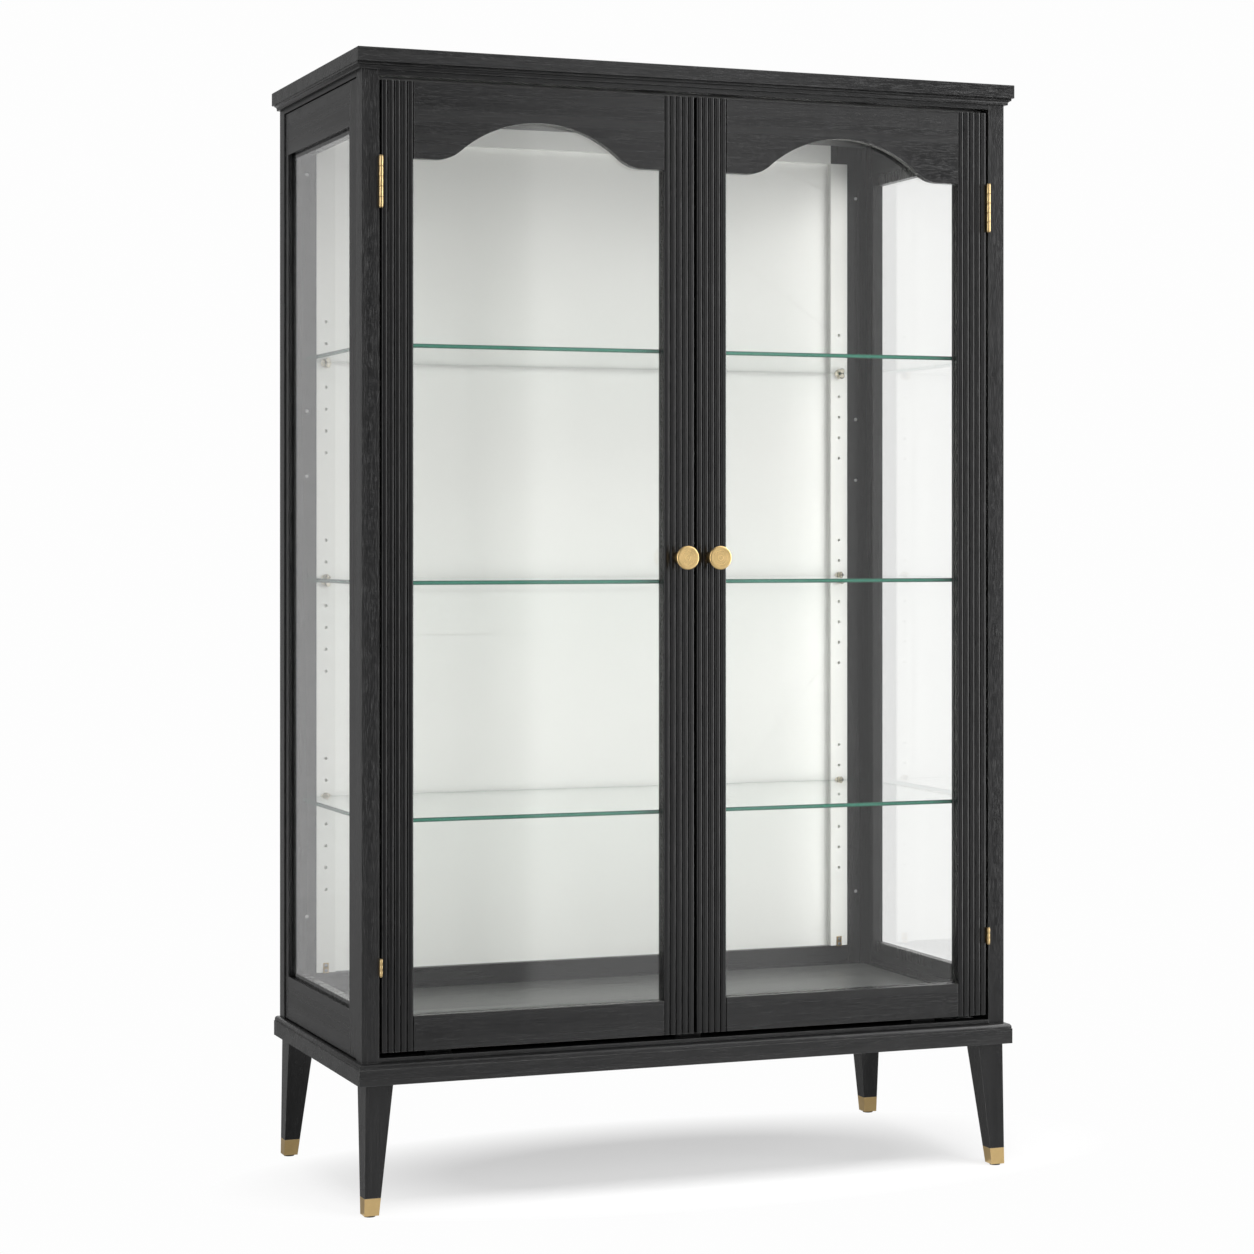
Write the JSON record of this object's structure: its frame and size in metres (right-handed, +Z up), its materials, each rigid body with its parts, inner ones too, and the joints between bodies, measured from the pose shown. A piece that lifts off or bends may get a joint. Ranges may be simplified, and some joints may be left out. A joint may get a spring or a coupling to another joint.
{
  "type": "glazed display showcase",
  "caption": "Tall dark timber showcase on splayed legs with brass feet, arched glazed reeded doors on hinges, glazed sides, a white back and glass shelves.",
  "frame": {"origin": "on the floor, under the middle of the closed showcase's outline", "axes": "+Z up; the doors face -Y; +X to the right of someone who faces the doors"},
  "size_m": [1.04, 0.508, 1.652],
  "materials": {
    "dark_wood": "satin charcoal stain over open grain",
    "white_panel": "matt off-white paint",
    "brass": "brushed, satin",
    "steel": "plain",
    "pane_glass": "clear and polished",
    "shelf_glass": "clear and polished with green edges",
    "black_plastic": "matt"
  },
  "bodies": {
    "cabinet": {"top_board": "dark_wood", "cornice_front": "dark_wood", "cornice_left": "dark_wood", "cornice_right": "dark_wood", "ceiling_board": "dark_wood", "front_left_post": "dark_wood", "front_right_post": "dark_wood", "rear_left_post": "dark_wood", "rear_right_post": "dark_wood", "front_top_rail": "dark_wood", "front_bottom_rail": "dark_wood", "side_top_strips": "dark_wood", "side_stiles": "dark_wood", "side_top_rails": "dark_wood", "side_bottom_rails": "dark_wood", "left_side_glass": "pane_glass", "right_side_glass": "pane_glass", "side_glass_beads": "dark_wood", "back_panel": "white_panel", "back_corner_strips": "dark_wood", "back_stiles": "white_panel", "back_top_rail": "white_panel", "back_bottom_rail": "dark_wood", "floor_board": "dark_wood", "floor_bearers": "dark_wood", "base_board": "dark_wood", "front_left_leg": "dark_wood", "front_right_leg": "dark_wood", "rear_left_leg": "dark_wood", "rear_right_leg": "dark_wood", "leg_ferrules": "brass", "leg_glides": "black_plastic", "leg_bolts": "steel", "lower_shelf": "shelf_glass", "middle_shelf": "shelf_glass", "upper_shelf": "shelf_glass", "shelf_supports": "brass", "door_catches": "steel", "joint_plates": "brass", "case_screws": "brass", "hinge_frame_leaves": "brass", "hinge_pins": "brass"},
    "left_door": {"left_door_hinge_stile": "dark_wood", "left_door_meeting_stile": "dark_wood", "left_door_top_rail": "dark_wood", "left_door_bottom_rail": "dark_wood", "left_door_glass": "pane_glass", "left_door_beads": "dark_wood", "left_door_knob": "brass", "left_door_hinge_leaves": "brass", "left_door_screws": "brass"},
    "right_door": {"right_door_hinge_stile": "dark_wood", "right_door_meeting_stile": "dark_wood", "right_door_top_rail": "dark_wood", "right_door_bottom_rail": "dark_wood", "right_door_glass": "pane_glass", "right_door_beads": "dark_wood", "right_door_knob": "brass", "right_door_hinge_leaves": "brass", "right_door_screws": "brass"}
  },
  "joints": [
    {"name": "left_door_swing", "type": "hinge", "parent": "cabinet", "child": "left_door", "pos_m": [-0.48225, -0.2224, 0.92], "axis": [0, 0, -1], "range_deg": [0, 170]},
    {"name": "right_door_swing", "type": "hinge", "parent": "cabinet", "child": "right_door", "pos_m": [0.48225, -0.2224, 0.92], "axis": [0, 0, 1], "range_deg": [0, 170]}
  ]
}
